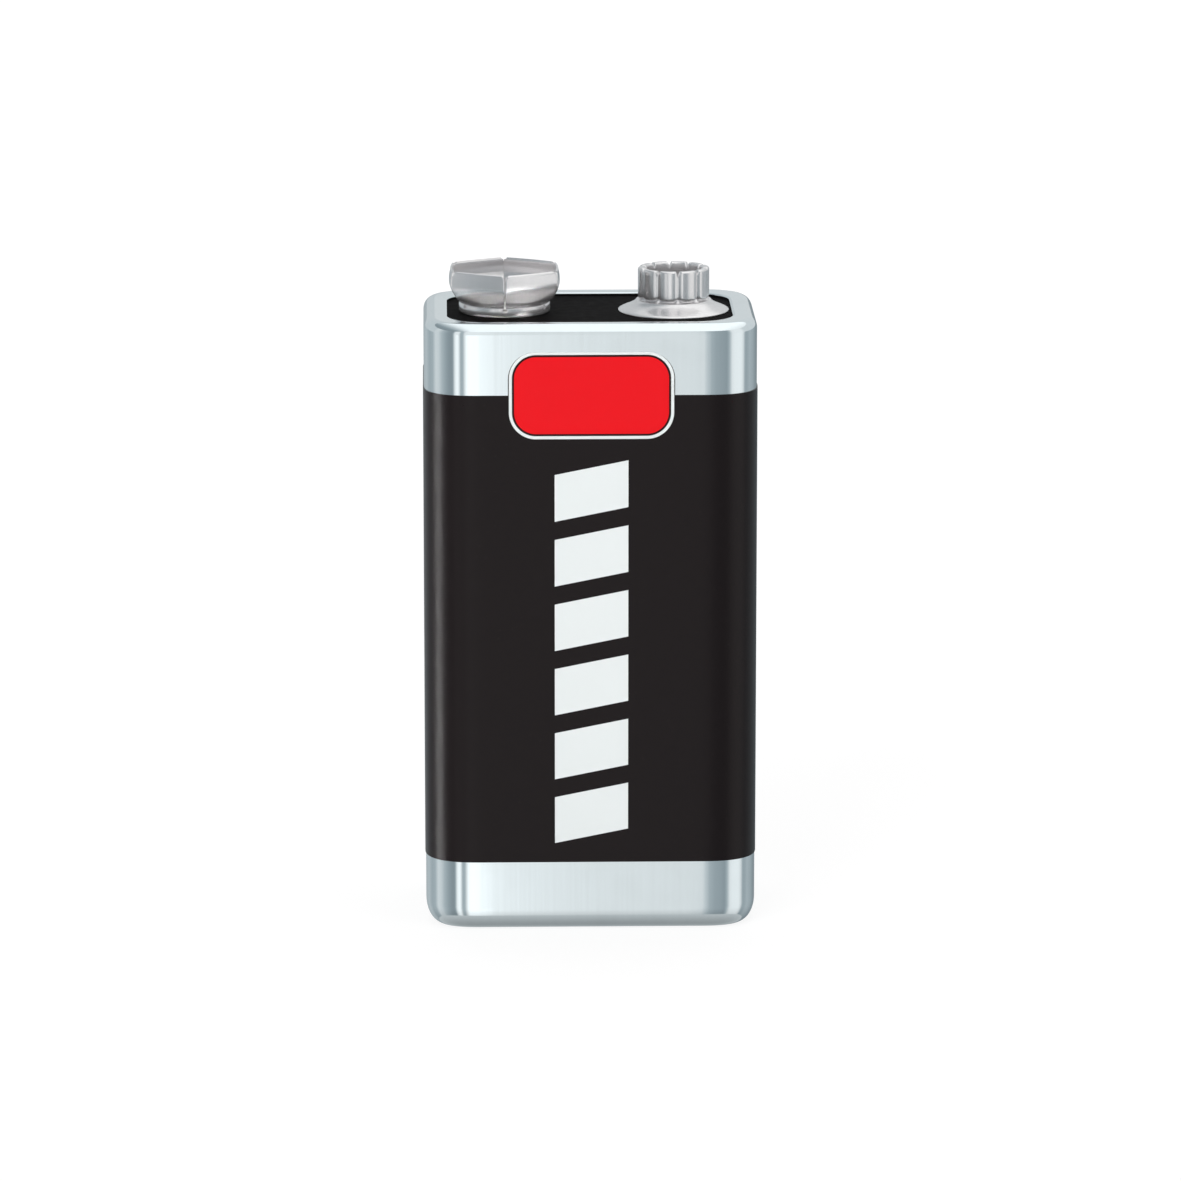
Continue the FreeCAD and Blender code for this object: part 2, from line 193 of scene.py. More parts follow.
class BatteryStudioSettings(PropertyGroup):
    target: size("Target", "Level that the camera looks at", 24.0)
    distance: size("Distance", "Camera from its target", 499.0)
    elevation: turn("Elevation", "Height of the camera as an angle", 12.24)
    azimuth: turn("Azimuth", "Camera to the side of the front", -1.34)
    lens: number("Lens", "Focal length", 203.9, unit="CAMERA")
    ambient: number("Ambient", "Even light on the object", 0.5)


# Meshes

WELD = 0.0005 * MM
SHARP_ANGLE = math.radians(50)
CORNER_STEPS = 24


def ramp(start, end, steps):
    """Evenly spaced numbers from start to end, both included."""
    return [start + (end - start) * step / steps for step in range(steps + 1)]


def arc(steps, start=0.0, end=QUARTER):
    """The sine and cosine of evenly spaced angles, over a quarter turn unless told otherwise."""
    return [(math.sin(angle), math.cos(angle)) for angle in ramp(start, end, steps)]


def spline(along, before, start, end, after):
    """A value part of the way from start to end on a smooth curve past their neighbours."""
    slope = (end - before) * along
    bend = (2 * before - 5 * start + 4 * end - after) * along**2
    twist = (3 * start - before - 3 * end + after) * along**3
    return 0.5 * (2 * start + slope + bend + twist)


def smoothed(levels, steps):
    """Points on a smooth curve through a list of levels, each a tuple of numbers."""
    padded = [levels[0], *levels, levels[-1]]
    points = []
    for neighbours in zip(padded, padded[1:], padded[2:], padded[3:]):
        for step in range(steps):
            points.append(tuple(spline(step / steps, *values) for values in zip(*neighbours)))
    points.append(tuple(levels[-1]))
    return points


def corner_curve(radius, ease):
    """A quarter of an eased corner, as (across, along, normal across, normal along)."""
    curve = []
    for sine, cosine in arc(CORNER_STEPS):
        normal = Vector((cosine ** (2 - 2 / ease), sine ** (2 - 2 / ease))).normalized()
        curve.append((radius * cosine ** (2 / ease), radius * sine ** (2 / ease), normal.x, normal.y))
    return curve


def rounded_path(width, depth, radius, ease=2.0, gap=0.0, seam=0.0, front=None):
    """Stations round a rounded rectangle from a seam in the back, over -X, the front and +X."""
    across = width / 2 - radius
    along = depth / 2 - radius
    curve = corner_curve(radius, ease)
    front = front or ramp(-across, across, 14)
    return [
        *((x, depth / 2, 0.0, 1.0) for x in ramp(seam - gap / 2, -across, 7)[:-1]),
        *((-across - x, along + y, -nx, ny) for x, y, nx, ny in reversed(curve)),
        *((-width / 2, y, -1.0, 0.0) for y in ramp(along, -along, 8)[1:-1]),
        *((-across - x, -along - y, -nx, -ny) for x, y, nx, ny in curve),
        *((x, -depth / 2, 0.0, -1.0) for x in front[1:-1]),
        *((across + x, -along - y, nx, -ny) for x, y, nx, ny in reversed(curve)),
        *((width / 2, y, 1.0, 0.0) for y in ramp(-along, along, 8)[1:-1]),
        *((across + x, along + y, nx, ny) for x, y, nx, ny in curve),
        *((x, depth / 2, 0.0, 1.0) for x in ramp(across, seam + gap / 2, 7)[1:]),
    ]


def inset_row(path, distance, level):
    """A path moved inwards by a distance, at one level."""
    return [Vector((x - nx * distance, y - ny * distance, level)) for x, y, nx, ny in path]


def blended_row(first, second, amount):
    """A row part of the way from one row to another."""
    return [a.lerp(b, amount) for a, b in zip(first, second)]


def turned_point(centre, radius, angle, level):
    """A point at an angle round an upright axis."""
    return centre + Vector((radius * math.cos(angle), radius * math.sin(angle), level))


def grid_mesh(grids, closed=False):
    """Quads between the rows of each grid, whose ends meet both ways where it is closed."""
    mesh = bmesh.new()
    for rows in grids:
        grid = [[mesh.verts.new(point) for point in row] for row in rows]
        if closed:
            grid = [row + row[:1] for row in [*grid, grid[0]]]
        for lower, upper in zip(grid, grid[1:]):
            for station in range(len(lower) - 1):
                mesh.faces.new((lower[station], lower[station + 1], upper[station + 1], upper[station]))
    return mesh


def new_object(name, data):
    """An object in the scene that holds a mesh, a lamp or a camera."""
    item = bpy.data.objects.new(name, data)
    bpy.context.scene.collection.objects.link(item)
    return item


def mesh_object(name, mesh, material):
    """An object made of a finished mesh in one material."""
    data = bpy.data.meshes.new(name)
    mesh.to_mesh(data)
    mesh.free()
    data.materials.append(material)
    return new_object(name, data)


def modify(piece, name, kind, **settings):
    """Gives a piece a modifier with its settings."""
    modifier = piece.modifiers.new(name, kind)
    for setting, value in settings.items():
        setattr(modifier, setting, value)


def apply_modifiers(piece):
    """Puts the result of a piece's modifiers in the place of its mesh."""
    plain = piece.data
    graph = bpy.context.evaluated_depsgraph_get()
    finished = bpy.data.meshes.new_from_object(piece.evaluated_get(graph))
    piece.modifiers.clear()
    piece.data = finished
    bpy.data.meshes.remove(plain)
    finished.name = piece.name


def add_piece(mesh, name, material, node, sheet=0.0, edge=0.0):
    """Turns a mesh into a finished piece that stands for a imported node."""
    bmesh.ops.remove_doubles(mesh, verts=mesh.verts, dist=WELD)
    piece = mesh_object(name, mesh, material)
    if sheet:
        modify(piece, "Sheet", "SOLIDIFY", thickness=sheet, offset=-1.0, use_even_offset=True)
    if edge:
        limits = {"limit_method": "ANGLE", "angle_limit": SHARP_ANGLE}
        modify(piece, "Edges", "BEVEL", width=edge, segments=2, **limits)
    apply_modifiers(piece)
    for polygon in piece.data.polygons:
        polygon.use_smooth = True
    piece.data.set_sharp_from_angle(angle=SHARP_ANGLE)
    modify(piece, "Normals", "WEIGHTED_NORMAL", keep_sharp=True)
    apply_modifiers(piece)
    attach(piece, BODY)
    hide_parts(node)


# Nodes

COLOUR = "NodeSocketColor"
NUMBER = "NodeSocketFloat"
VECTOR = "NodeSocketVector"
SURFACE_OUTPUTS = (("Colour", COLOUR), ("Roughness", NUMBER), ("Height", NUMBER))
NODE_SPACING = (220, 260)


def feed(tree, socket, value):
    """Gives a node's input a link from a socket, a colour or a plain value."""
    if isinstance(value, bpy.types.NodeSocket):
        tree.links.new(value, socket)
    elif socket.type == "RGBA":
        socket.default_value = (*value, 1.0)
    else:
        socket.default_value = value


def feed_all(tree, node, inputs):
    """Feeds a node's inputs, each by its name or number."""
    for name, value in inputs.items():
        feed(tree, node.inputs[name], value)


def add_node(tree, kind, inputs=None, **settings):
    """A new node in a tree, with its settings and what its inputs get."""
    node = tree.nodes.new(kind)
    for name, value in settings.items():
        setattr(node, name, value)
    feed_all(tree, node, inputs or {})
    return node


def math_node(tree, operation, *values, clamp=False):
    """The result of a math node whose inputs are sockets or numbers."""
    inputs = dict(enumerate(values))
    return add_node(tree, "ShaderNodeMath", inputs, operation=operation, use_clamp=clamp).outputs[0]


def mix_colour(tree, factor, first, second):
    """A mix of two colours, each a socket or a plain colour."""
    inputs = {0: factor, 6: first, 7: second}
    return add_node(tree, "ShaderNodeMix", inputs, data_type="RGBA").outputs[2]


def noise(tree, place, scale, detail, roughness=0.5):
    """A noise at a place."""
    inputs = {"Vector": place, "Scale": scale, "Detail": detail, "Roughness": roughness}
    return add_node(tree, "ShaderNodeTexNoise", inputs).outputs["Fac"]


def map_range(tree, value, start, end, low=0.0, high=1.0, smooth=False):
    """A value spread from low at start to high at end, with soft ends where it is smooth."""
    inputs = {"Value": value, "From Min": start, "From Max": end, "To Min": low, "To Max": high}
    kind = "SMOOTHSTEP" if smooth else "LINEAR"
    return add_node(tree, "ShaderNodeMapRange", inputs, interpolation_type=kind).outputs[0]


def object_place(tree, stretch=None):
    """The place in the object's own space, multiplied by a stretch where there is one."""
    place = add_node(tree, "ShaderNodeTexCoord").outputs["Object"]
    if stretch is None:
        return place
    inputs = {0: place, 1: stretch}
    return add_node(tree, "ShaderNodeVectorMath", inputs, operation="MULTIPLY").outputs[0]


def arrange(tree):
    """Moves each node of a tree to the left of the nodes that it feeds."""
    columns = {node.name: 0 for node in tree.nodes}
    for step in range(len(columns)):
        for link in tree.links:
            left = columns[link.to_node.name] + 1
            columns[link.from_node.name] = max(columns[link.from_node.name], left)
    rows = {}
    for node in tree.nodes:
        column = columns[node.name]
        rows[column] = rows.get(column, 0) + 1
        node.location = (-column * NODE_SPACING[0], -rows[column] * NODE_SPACING[1])


def empty_tree(holder):
    """The node tree of a new material or world, without its first nodes."""
    holder.use_nodes = True
    holder.node_tree.nodes.clear()
    return holder.node_tree


def new_group(name, inputs, outputs=SURFACE_OUTPUTS):
    """An empty shader group and the sockets in it that carry its inputs."""
    group = bpy.data.node_groups.new(name, "ShaderNodeTree")
    for label, kind, default in inputs:
        group.interface.new_socket(label, in_out="INPUT", socket_type=kind).default_value = default
    for label, kind in outputs:
        group.interface.new_socket(label, in_out="OUTPUT", socket_type=kind)
    return group, add_node(group, "NodeGroupInput").outputs


def finish_group(group, results):
    """Feeds a group's outputs and arranges its nodes."""
    add_node(group, "NodeGroupOutput", results)
    arrange(group)
    return group


# Materials

DUST_COLOUR = (0.45, 0.43, 0.4)
PRINT_EDGE = 0.02 * MM
FRONT_LIMIT = -7.5 * MM


def plated_sheet_group():
    """Rolled or plated metal: faint rolling lines and handling smudges."""
    group, given = new_group("Plated sheet", (
        ("Colour", COLOUR, (0.8, 0.8, 0.8, 1.0)),
        ("Roughness", NUMBER, 0.2),
        ("Line stretch", VECTOR, (1.0, 1.0, 1.0)),
        ("Smudge", NUMBER, 0.1),
    ))
    lines = noise(group, object_place(group, given["Line stretch"]), scale=2500.0, detail=2.0)
    patches = noise(group, object_place(group), scale=260.0, detail=5.0)
    patch = map_range(group, patches, start=0.45, end=0.72, smooth=True)
    smudge = math_node(group, "MULTIPLY", patch, given["Smudge"])
    drift = math_node(group, "MULTIPLY", math_node(group, "SUBTRACT", lines, 0.5), 0.06)
    shade = math_node(group, "ADD", math_node(group, "SUBTRACT", 1.0, smudge), drift)
    shaded = {0: given["Colour"], "Scale": shade}
    paint = add_node(group, "ShaderNodeVectorMath", shaded, operation="SCALE")
    rougher = math_node(group, "MULTIPLY_ADD", smudge, 0.9, 1.0)
    return finish_group(group, {
        "Colour": paint.outputs[0],
        "Roughness": math_node(group, "MULTIPLY", rougher, given["Roughness"]),
        "Height": lines,
    })


def smooth_film_group():
    """Printed film and moulded plastic: fine orange peel and dust specks."""
    group, given = new_group("Smooth film", (
        ("Colour", COLOUR, (0.02, 0.02, 0.02, 1.0)),
        ("Roughness", NUMBER, 0.4),
        ("Peel scale", NUMBER, 1500.0),
        ("Dust", NUMBER, 0.02),
    ))
    place = object_place(group)
    peel = noise(group, place, given["Peel scale"], detail=3.0)
    specks = add_node(group, "ShaderNodeTexVoronoi", {"Vector": place, "Scale": 900.0})
    speck = map_range(group, specks.outputs["Distance"], start=0.12, end=0.04, smooth=True)
    dust = math_node(group, "MULTIPLY", speck, given["Dust"])
    drift = math_node(group, "MULTIPLY_ADD", peel, 0.3, 0.85)
    return finish_group(group, {
        "Colour": mix_colour(group, dust, given["Colour"], DUST_COLOUR),
        "Roughness": math_node(group, "MULTIPLY", drift, given["Roughness"]),
        "Height": peel,
    })


def pressed_fibre_group():
    """Card, paper and pressed powder: matted fibres or grains of two tones."""
    group, given = new_group("Pressed fibre", (
        ("Colour", COLOUR, (0.5, 0.4, 0.3, 1.0)),
        ("Second colour", COLOUR, (0.4, 0.3, 0.2, 1.0)),
        ("Scale", NUMBER, 1200.0),
        ("Stretch", VECTOR, (1.0, 1.0, 1.0)),
    ))
    place = object_place(group, given["Stretch"])
    fibres = noise(group, place, given["Scale"], detail=6.0, roughness=0.65)
    tone = map_range(group, fibres, start=0.35, end=0.65)
    return finish_group(group, {
        "Colour": mix_colour(group, tone, given["Colour"], given["Second colour"]),
        "Roughness": math_node(group, "MULTIPLY_ADD", tone, 0.15, 0.75),
        "Height": fibres,
    })


def rounded_field_group():
    """A mask that is 1 inside a rounded rectangle on the front."""
    names = ("Across", "Up", "Half width", "Half height", "Corner")
    inputs = [(name, NUMBER, 0.0) for name in names]
    group, given = new_group("Rounded field", inputs, [("Mask", NUMBER)])
    reaches = []
    for place, half in (("Across", "Half width"), ("Up", "Half height")):
        inner = math_node(group, "SUBTRACT", given[half], given["Corner"])
        over = math_node(group, "SUBTRACT", math_node(group, "ABSOLUTE", given[place]), inner)
        reaches.append(math_node(group, "POWER", math_node(group, "MAXIMUM", over, 0.0), 2.0))
    distance = math_node(group, "SQRT", math_node(group, "ADD", *reaches))
    beyond = math_node(group, "SUBTRACT", distance, given["Corner"])
    mask = map_range(group, beyond, start=PRINT_EDGE, end=-PRINT_EDGE, smooth=True)
    return finish_group(group, {"Mask": mask})


GROUPS = {
    "Plated sheet": plated_sheet_group,
    "Smooth film": smooth_film_group,
    "Pressed fibre": pressed_fibre_group,
    "Rounded field": rounded_field_group,
}


def use_group(tree, name, values):
    """The outputs of a shared group with its own values, made the first time it is wanted."""
    group = bpy.data.node_groups.get(name) or GROUPS[name]()
    return add_node(tree, "ShaderNodeGroup", values, node_tree=group).outputs


def new_material(name, metallic=0.0, specular=0.5):
    """A material, its tree and the Principled shader in it."""
    material = bpy.data.materials.new(name)
    tree = empty_tree(material)
    plain = {"Metallic": metallic, "Specular IOR Level": specular}
    shader = add_node(tree, "ShaderNodeBsdfPrincipled", plain)
    add_node(tree, "ShaderNodeOutputMaterial", {0: shader.outputs[0]})
    return material, tree, shader


def lay_surface(tree, shader, group, values, strength, depth):
    """Feeds a shared group's colour, roughness and height into a Principled shader."""
    surface = use_group(tree, group, values)
    relief = {"Strength": strength, "Distance": depth, "Height": surface["Height"]}
    feed_all(tree, shader, {
        "Base Color": surface["Colour"],
        "Roughness": surface["Roughness"],
        "Normal": add_node(tree, "ShaderNodeBump", relief).outputs[0],
    })
    arrange(tree)


def metal_material(name, colour, roughness, stretch, smudge, metallic=1.0):
    """Bright metal with rolling lines along the axis that is stretched least."""
    material, tree, shader = new_material(name, metallic=metallic)
    values = {"Colour": colour, "Roughness": roughness, "Line stretch": stretch, "Smudge": smudge}
    lay_surface(tree, shader, "Plated sheet", values, strength=0.25, depth=0.002 * MM)
    return material


def film_material(name, colour, roughness, dust, specular=0.5, depth=0.004 * MM):
    """Plastic film or moulded plastic in one colour."""
    material, tree, shader = new_material(name, specular=specular)
    values = {"Colour": colour, "Roughness": roughness, "Peel scale": 1500.0, "Dust": dust}
    lay_surface(tree, shader, "Smooth film", values, strength=0.3, depth=depth)
    return material


def fibre_material(name, colour, second, scale, stretch=(1.0, 1.0, 1.0)):
    """Card, paper or pressed powder in two tones."""
    material, tree, shader = new_material(name, specular=0.25)
    values = {"Colour": colour, "Second colour": second, "Scale": scale, "Stretch": stretch}
    lay_surface(tree, shader, "Pressed fibre", values, strength=0.5, depth=0.02 * MM)
    return material


def bar_mask(tree, label, across, level):
    """A mask of the slanted bars down the front."""
    height = math_node(tree, "SUBTRACT", level, label.bar_bottom)
    run = math_node(tree, "SUBTRACT", height, math_node(tree, "MULTIPLY", across, label.bar_slant))
    bar = math_node(tree, "DIVIDE", run, label.bar_pitch)
    centred = math_node(tree, "SUBTRACT", math_node(tree, "FRACT", bar), label.bar_fill / 2)
    mask = math_node(tree, "LESS_THAN", math_node(tree, "ABSOLUTE", centred), label.bar_fill / 2)
    for test, value, limit in (
        ("GREATER_THAN", bar, 0.0),
        ("LESS_THAN", bar, float(label.bar_count)),
        ("LESS_THAN", math_node(tree, "ABSOLUTE", across), label.bar_width / 2),
    ):
        mask = math_node(tree, "MULTIPLY", mask, math_node(tree, test, value, limit))
    return mask


def label_material(label):
    """The black film with its printed field, outline, halo and bars."""
    material, tree, shader = new_material("label film", specular=0.2)
    place = add_node(tree, "ShaderNodeSeparateXYZ", {0: object_place(tree)}).outputs
    front = math_node(tree, "LESS_THAN", place["Y"], FRONT_LIMIT)
    up = math_node(tree, "SUBTRACT", place["Z"], label.top)
    bars = math_node(tree, "MULTIPLY", bar_mask(tree, label, place["X"], place["Z"]), front)
    colour = mix_colour(tree, bars, label.black, label.pale)
    for grow, paint in (
        (label.outline_width + label.halo_width, label.pale),
        (label.outline_width, label.outline),
        (0.0, label.red),
    ):
        field = use_group(tree, "Rounded field", {
            "Across": place["X"],
            "Up": up,
            "Half width": label.field_width / 2 + grow,
            "Half height": label.field_height / 2 + grow,
            "Corner": label.field_corner + grow,
        })
        colour = mix_colour(tree, math_node(tree, "MULTIPLY", field["Mask"], front), colour, paint)
    values = {"Colour": colour, "Roughness": 0.3, "Peel scale": 1200.0, "Dust": 0.005}
    lay_surface(tree, shader, "Smooth film", values, strength=0.2, depth=0.003 * MM)
    return material


def dress(node, material):
    """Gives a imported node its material."""
    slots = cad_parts[node].material_slots
    if not slots:
        raise RuntimeError(f"the packed node {node} has no material slot")
    for slot in slots:
        slot.material = material


# Jacket and label


def build_jacket(jacket):
    """The sheet from the base rim over the upright walls to the top rim, open at the back seam."""
    slit = {"gap": jacket.seam_gap, "seam": jacket.seam_place}
    outer = rounded_path(jacket.width, jacket.depth, jacket.corner, ease=jacket.corner_ease, **slit)
    base_window, rim_window = (
        rounded_path(jacket.width - 2 * reach, jacket.depth - 2 * reach, jacket.window_corner, **slit)
        for reach in (jacket.base_reach, jacket.rim_reach)
    )
    base_edge = inset_row(base_window, 0.0, 0.0)
    base_flat = inset_row(outer, jacket.base_bend, 0.0)
    rows = [blended_row(base_edge, base_flat, amount) for amount in ramp(0.0, 1.0, 3)[:-1]]
    rows += [
        inset_row(outer, jacket.base_bend * (1 - sine), jacket.base_rise * (1 - cosine))
        for sine, cosine in arc(14)
    ]
    shoulder = jacket.height - jacket.rim_bend
    rows += [inset_row(outer, 0.0, level) for level in ramp(jacket.base_rise, shoulder, 8)[1:-1]]
    rows += [
        inset_row(outer, jacket.rim_bend * (1 - cosine), shoulder + jacket.rim_bend * sine)
        for sine, cosine in arc(12)
    ]
    rim_flat = rows[-1]
    rim_edge = inset_row(rim_window, 0.0, jacket.height - jacket.rim_dip)
    rows += [blended_row(rim_flat, rim_edge, amount) for amount in ramp(0.0, 1.0, 4)[1:]]
    return grid_mesh([rows])


def tab_columns(label):
    """Places across the tab where its outline is drawn, and the outline's level at each."""
    half = label.tab_width / 2
    radius = label.tab_corner
    side = label.top + label.tab_rise - radius
    right = [(half - radius * (1 - cosine), side + radius * sine) for sine, cosine in arc(10)]
    left = [(-across, level) for across, level in right]
    middle = [(across, side + radius) for across in ramp(radius - half, half - radius, 8)[1:-1]]
    return left + middle + right[::-1]


def build_label(label, jacket):
    """The film round the jacket, its tab on the front and its lap at the back."""
    width = jacket.width + 2 * label.film
    depth = jacket.depth + 2 * label.film
    corner = jacket.corner + label.film
    columns = tab_columns(label)
    flat = width / 2 - corner
    half = label.tab_width / 2
    beside = ramp(-flat, -half, 3)[:-1] + ramp(half, flat, 3)[1:]
    front = sorted([across for across, level in columns] + beside)
    path = rounded_path(width, depth, corner, ease=jacket.corner_ease, front=front)
    levels = ramp(label.bottom, label.top, 6)
    sleeve = [inset_row(path, 0.0, level) for level in levels]
    tab = [
        [Vector((x, -depth / 2, label.top + (level - label.top) * amount)) for x, level in columns]
        for amount in ramp(0.0, 1.0, 6)
    ]
    edges = (label.lap_offset + label.lap_width / 2, label.lap_offset - label.lap_width / 2)
    lap = [[Vector((x, depth / 2 + label.film, level)) for x in ramp(*edges, 3)] for level in levels]
    return grid_mesh([sleeve, tab, lap])


# Snap terminals

COLLAR_BEND = 0.2 * MM
BULGE_LEVEL = 2.2 * MM
# The socket's wall from its collar to its bulge: level, half across flats and roundness.
SOCKET_WALL = (
    (0.92 * MM, 3.45 * MM, 0.85),
    (1.12 * MM, 3.63 * MM, 0.5),
    (1.4 * MM, 3.79 * MM, 0.2),
    (1.7 * MM, 3.93 * MM, 0.05),
    (1.95 * MM, 4.02 * MM, 0.0),
)
PETAL_COLUMNS = 14
# How much the columns crowd towards a petal's edges.
PETAL_EASE = 0.35
STUD_LIP = 0.16 * MM
STUD_NECK = 0.2 * MM
STUD_RISE = 0.36 * MM
FLOOR_BEND = 0.25 * MM
# Where each lobe of the stud is drawn, as shares of its width up to its middle.
LOBE_STATIONS = (0.0, 0.015, 0.035, 0.06, 0.09, 0.125, 0.165, 0.21, 0.27, 0.33, 0.39, 0.445, 0.5)


def socket_profile(socket):
    """The socket's outside from its hole to its lip, as (level, half across flats, roundness)."""
    collar, bulge, lip = socket.collar_radius, socket.bulge_flat, socket.lip_flat
    middle = socket.collar_height * 0.5
    waist = (socket.collar_height * 0.92, socket.waist_radius, 1.0)
    levels = [(0.0, reach, 1.0) for reach in ramp(socket.hole, collar - COLLAR_BEND, 4)]
    for sine, cosine in arc(6)[1:]:
        levels.append((COLLAR_BEND * (1 - cosine), collar - COLLAR_BEND * (1 - sine), 1.0))
    levels.append((middle, collar, 1.0))
    for sine, cosine in arc(5)[1:]:
        reach = collar - (collar - waist[1]) * (1 - cosine)
        levels.append((middle + (waist[0] - middle) * sine, reach, 1.0))
    wall = smoothed([waist, *SOCKET_WALL, (BULGE_LEVEL, bulge, 0.0)], 5)
    crown = smoothed([
        (BULGE_LEVEL, bulge, 0.0),
        (2.45 * MM, bulge + 0.01 * MM, 0.0),
        (2.75 * MM, bulge - 0.01 * MM, 0.0),
        (2.98 * MM, lip + 0.09 * MM, 0.0),
        (3.1 * MM, lip + 0.06 * MM, 0.0),
        (3.19 * MM, lip + 0.06 * MM, 0.0),
        (3.26 * MM, lip + 0.02 * MM, 0.0),
        (socket.height, lip - 0.08 * MM, 0.0),
    ], 4)
    return levels + wall[1:] + crown[1:]


def slit_half_width(socket, level):
    """Half the gap beside a petal at a level, 0 where the collar is whole."""
    half = socket.slit / 2
    apart = level - socket.relief_level
    notch = socket.height - socket.notch_depth
    if level <= socket.relief_level - socket.relief:
        return 0.0
    if level < socket.relief_level + socket.relief:
        reach = math.sqrt(max(socket.relief**2 - apart**2, 0.0))
        return max(reach, half if apart > 0.0 else 0.0)
    if level > notch:
        rise = (level - notch) / socket.notch_depth
        return half + (socket.notch_width / 2 - half) * rise**1.5
    return half


def petal_point(socket, level, flat, roundness, spread):
    """The radius of the crown at an angle from a petal's middle."""
    bow = socket.crown * (math.tan(spread) / math.tan(math.pi / socket.petals)) ** 2
    hexagon = (flat - bow) / math.cos(spread)
    return roundness * flat + (1 - roundness) * hexagon


def slit_end_levels(socket, profile):
    """The profile's entries at the levels that draw the round end of a slit."""
    low = socket.relief_level - socket.relief
    below = max((entry for entry in profile if entry[0] <= low), key=lambda entry: entry[0])
    near = [below] + [entry for entry in profile if entry[0] > low]
    entries = []
    for sine, cosine in arc(12, start=-QUARTER):
        level = socket.relief_level + socket.relief * sine
        lower, upper = next(pair for pair in zip(near, near[1:]) if pair[0][0] <= level <= pair[1][0])
        amount = (level - lower[0]) / (upper[0] - lower[0])
        entries.append(tuple(a + (b - a) * amount for a, b in zip(lower, upper)))
    return entries


def build_socket(socket, centre):
    """The collar and the petals, parted by slits with round ends."""
    profile = socket_profile(socket)
    clear = socket.relief + 0.02 * MM
    levels = [entry for entry in profile if abs(entry[0] - socket.relief_level) > clear]
    levels += slit_end_levels(socket, profile)
    floor = [entry for entry in levels if entry[0] == 0.0]
    risen = sorted(entry for entry in levels if entry[0] > 0.0)
    half_turn = math.pi / socket.petals
    petals = []
    for petal in range(socket.petals):
        rows = []
        for level, flat, roundness in floor + risen:
            corner = petal_point(socket, level, flat, roundness, half_turn)
            reach = half_turn - slit_half_width(socket, level) / corner
            row = []
            for side in ramp(-1.0, 1.0, 2 * PETAL_COLUMNS):
                eased = PETAL_EASE * math.sin(side * QUARTER) + (1 - PETAL_EASE) * side
                spread = reach * eased
                radius = petal_point(socket, level, flat, roundness, spread)
                row.append(turned_point(centre, radius, 2 * half_turn * petal + spread, level))
            rows.append(row)
        petals.append(rows)
    return grid_mesh(petals)


def stud_foot(stud):
    """The section of the stud's foot from its hole to the ledge, as (radius, level)."""
    ledge = stud.radius + stud.ledge_reach
    floor = [(reach, 0.0) for reach in ramp(stud.hole, stud.foot_radius - 0.05 * MM, 6)]
    edge = [(stud.foot_radius - 0.012 * MM, 0.012 * MM), (stud.foot_radius, 0.05 * MM)]
    trumpet = smoothed([
        (stud.foot_radius - 0.01 * MM, stud.foot_edge),
        (3.96 * MM, 0.18 * MM),
        (3.66 * MM, 0.31 * MM),
        (3.3 * MM, 0.46 * MM),
        (3.02 * MM, 0.61 * MM),
        (ledge + 0.02 * MM, stud.foot_height - 0.1 * MM),
        (ledge - 0.05 * MM, stud.foot_height - 0.01 * MM),
        (ledge - 0.17 * MM, stud.foot_height + 0.02 * MM),
    ], 5)
    return floor + edge + trumpet


def stud_profile(stud):
    """The stud's section as (radius, level, flute share, notch share, scallop share) from its hole."""
    neck = stud.radius - STUD_NECK
    inside = stud.radius - stud.wall
    profile = [(radius, level, 0.0, 0.0, 0.0) for radius, level in stud_foot(stud)]
    profile.append((neck + 0.02 * MM, stud.foot_height + 0.02 * MM, 0.2, 0.0, 0.85))
    for sine, cosine in arc(8):
        level = stud.foot_height + 0.03 * MM + STUD_RISE * (1 - cosine)
        profile.append((neck + (stud.radius - neck) * sine, level, 0.2 + 0.8 * sine, 0.0, 1.0))
    low = profile[-1][1]
    top = stud.height - STUD_LIP
    for level in ramp(low, top, 8)[1:]:
        along = (level - low) / (top - low)
        profile.append((stud.radius, level, 1.0, along**4, (1 - along) ** 2))
    for sine, cosine in arc(6)[1:]:
        profile.append((stud.radius - STUD_LIP * (1 - cosine), top + STUD_LIP * sine, 1.0, 1.0, 0.0))
    for sine, cosine in arc(6):
        profile.append((inside + STUD_NECK * (1 - sine), top + STUD_LIP * cosine, 0.6, 1.0, 0.0))
    for level in ramp(top, stud.floor + FLOOR_BEND, 6)[1:]:
        profile.append((inside, level, 0.6, 0.0, 0.0))
    for sine, cosine in arc(4)[1:]:
        level = stud.floor + FLOOR_BEND * (1 - sine)
        profile.append((inside - FLOOR_BEND * (1 - cosine), level, 0.6, 0.0, 0.0))
    for reach in ramp(inside - FLOOR_BEND, stud.hole, 3)[1:]:
        profile.append((reach, stud.floor, 0.0, 0.0, 0.0))
    return profile


def build_stud(stud, centre):
    """The trumpet foot, the lobed column and its notched lip as one closed form."""
    stations = [*LOBE_STATIONS, *(1.0 - station for station in LOBE_STATIONS[-2:0:-1])]
    pitch = 2 * math.pi / stud.flutes
    rows = []
    for radius, level, flute, notch, scallop in stud_profile(stud):
        row = []
        for lobe in range(stud.flutes):
            for apart in stations:
                from_middle = abs(2 * apart - 1)
                side = min(apart, 1.0 - apart) * pitch * stud.radius
                groove = stud.flute_depth * math.exp(-((side / (stud.flute_width * 0.6)) ** 2))
                lift = scallop * stud.scallop * from_middle**3
                fall = stud.notch_depth * max(0.0, 1 - side / (stud.notch_width / 2)) ** 1.2
                reach = radius - flute * (groove + stud.lobe_bulge * from_middle**2)
                angle = (lobe + apart) * pitch + stud.flute_turn - QUARTER
                row.append(turned_point(centre, reach, angle, level + lift - notch * fall))
        rows.append(row)
    return grid_mesh([rows], closed=True)


